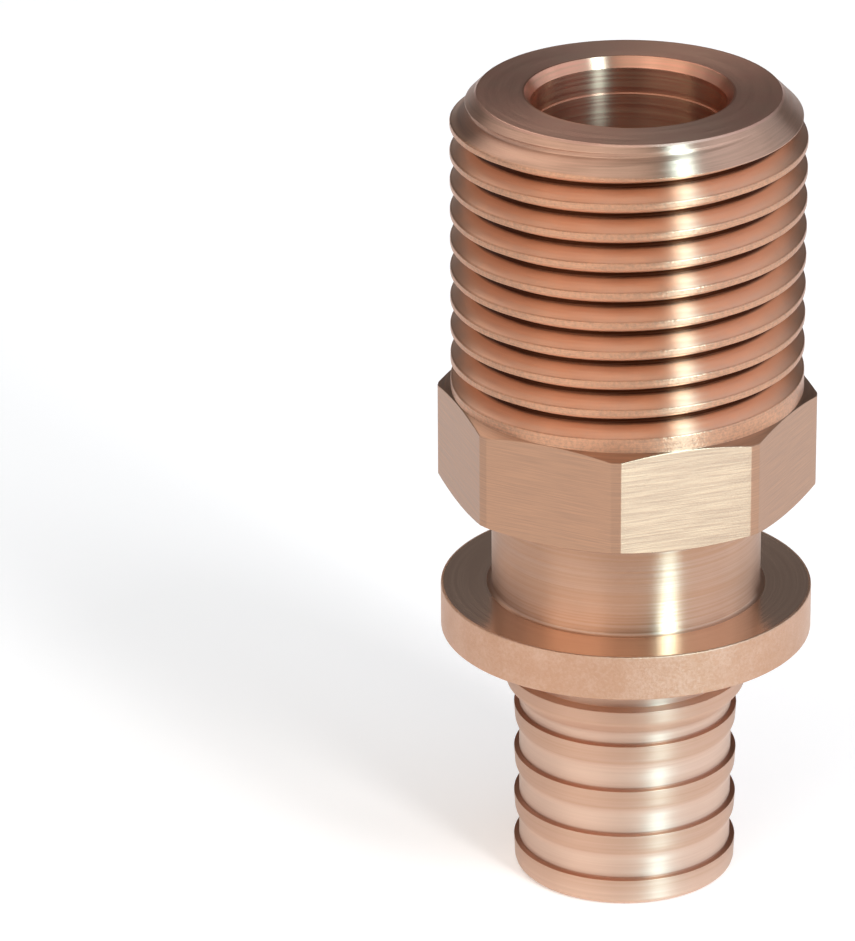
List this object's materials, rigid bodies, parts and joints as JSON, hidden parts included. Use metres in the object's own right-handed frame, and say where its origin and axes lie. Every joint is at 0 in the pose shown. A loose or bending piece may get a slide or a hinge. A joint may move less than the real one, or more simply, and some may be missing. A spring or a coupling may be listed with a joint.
{
  "type": "pex male adapter",
  "caption": "One-piece turned bronze adapter: barbed insert, stop shoulder and collar for flexible pipe, wrench octagon, and a parallel male pipe thread, bored through.",
  "frame": {"origin": "on the axis, at the foot of the pipe insert", "axes": "+Z along the axis from the insert to the thread end; +X and +Y square to two of the octagon's flats"},
  "size_m": [0.0222, 0.0222, 0.0496],
  "materials": {
    "bronze": "bright, fine-turned"
  },
  "bodies": {
    "root": {"adapter_body": "bronze"}
  },
  "joints": []
}
